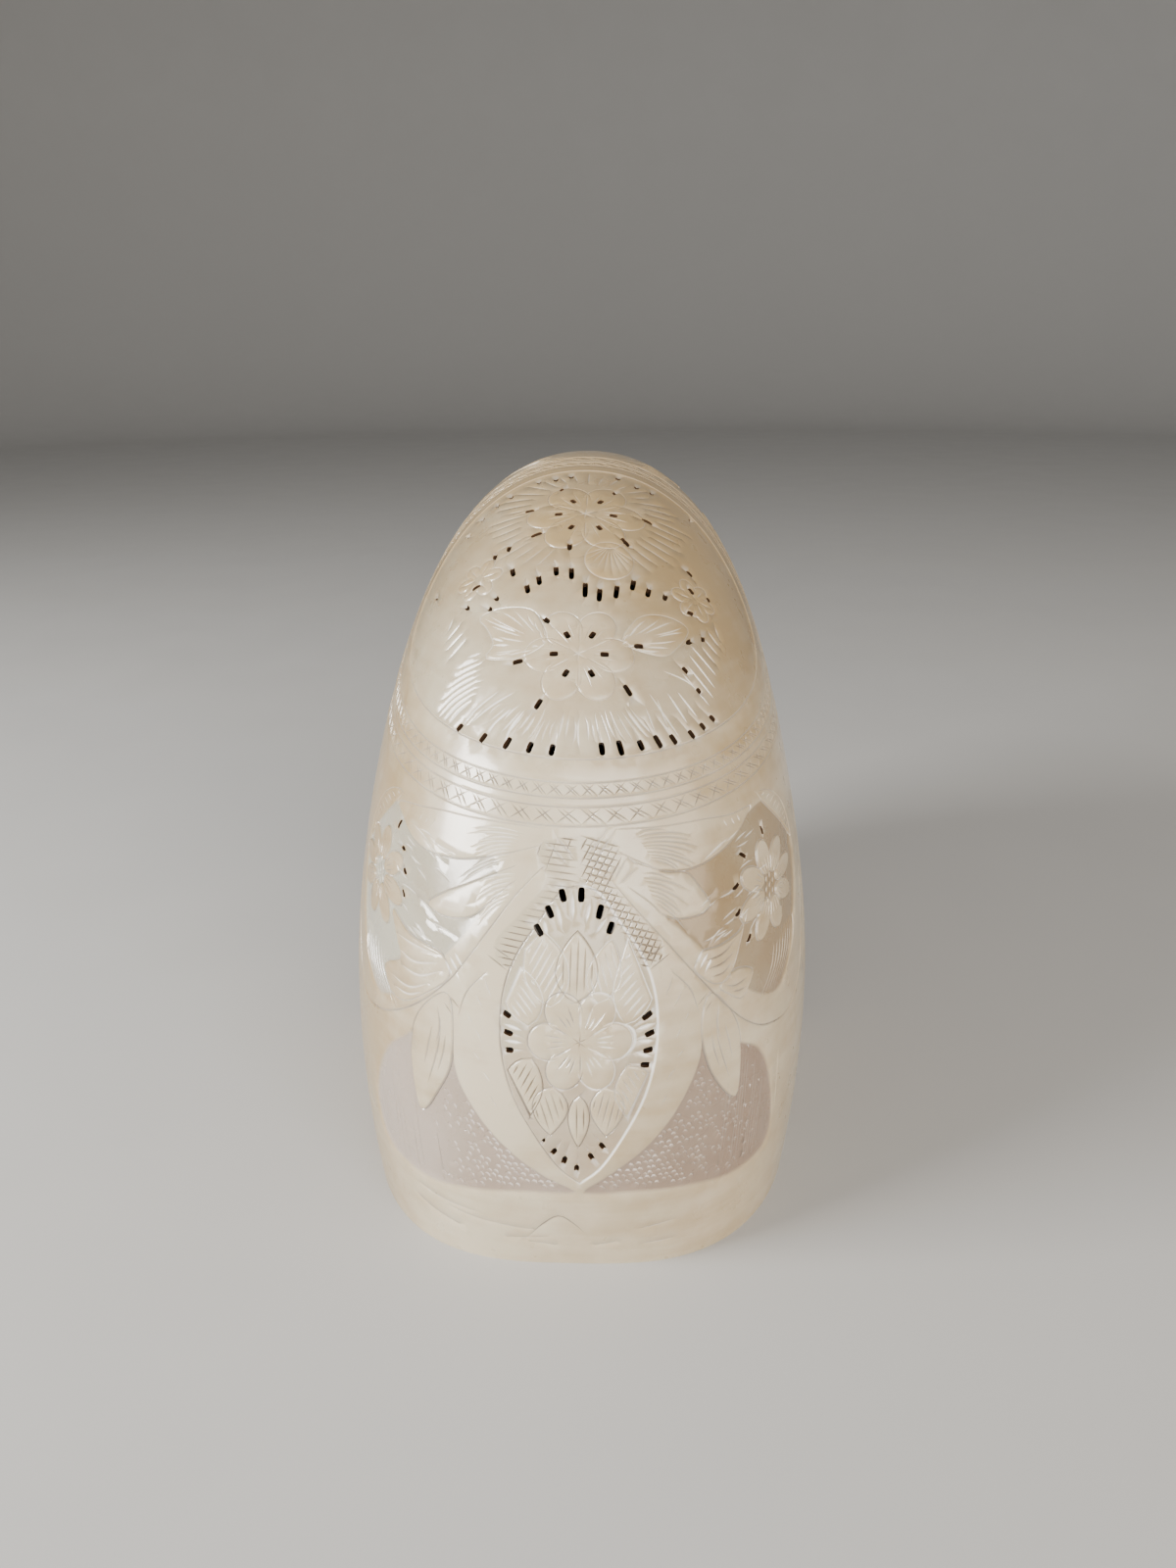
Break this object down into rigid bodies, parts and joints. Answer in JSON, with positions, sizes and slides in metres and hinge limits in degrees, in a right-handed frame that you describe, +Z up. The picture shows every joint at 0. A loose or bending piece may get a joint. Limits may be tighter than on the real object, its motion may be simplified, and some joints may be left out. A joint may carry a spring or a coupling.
{
  "type": "carved nautilus shell",
  "caption": "Nautilus shell ornament, carved with flowers and leaves and pierced with slots, standing mouth down on its ground rim, with its chambered coil inside.",
  "frame": {"origin": "middle of the shell's box at table level, where the ground rim and the underside of the coil rest", "axes": "+Z up; -Y towards the belly and the lip of the mouth; X along the axis of the spiral, the middle plane at X = 0"},
  "size_m": [0.0796, 0.1506, 0.1122],
  "materials": {
    "carved_porcelain_layer": "cream shell layer, carved down to pearl, satin gloss",
    "polished_nacre": "polished pearl",
    "septum_nacre": "natural pearl",
    "siphuncle_chalk": "chalky, matt",
    "callus_porcelain": "smooth cream"
  },
  "bodies": {
    "root": {"living_chamber_wall": "carved_porcelain_layer", "outer_coil_wall": "polished_nacre", "inner_coil_wall": "polished_nacre", "septum_01": "septum_nacre", "septum_02": "septum_nacre", "septum_03": "septum_nacre", "septum_04": "septum_nacre", "septum_05": "septum_nacre", "septum_06": "septum_nacre", "septum_07": "septum_nacre", "septum_08": "septum_nacre", "septum_09": "septum_nacre", "septum_10": "septum_nacre", "septum_11": "septum_nacre", "septum_12": "septum_nacre", "septum_13": "septum_nacre", "septum_14": "septum_nacre", "septum_15": "septum_nacre", "septum_16": "septum_nacre", "septum_17": "septum_nacre", "septum_18": "septum_nacre", "septum_19": "septum_nacre", "septum_20": "septum_nacre", "septum_21": "septum_nacre", "septum_22": "septum_nacre", "septum_23": "septum_nacre", "septum_24": "septum_nacre", "septum_25": "septum_nacre", "septum_26": "septum_nacre", "septum_27": "septum_nacre", "septum_28": "septum_nacre", "septum_29": "septum_nacre", "septum_30": "septum_nacre", "siphuncle": "siphuncle_chalk", "umbilical_callus_right": "callus_porcelain", "umbilical_callus_left": "callus_porcelain"}
  },
  "joints": []
}
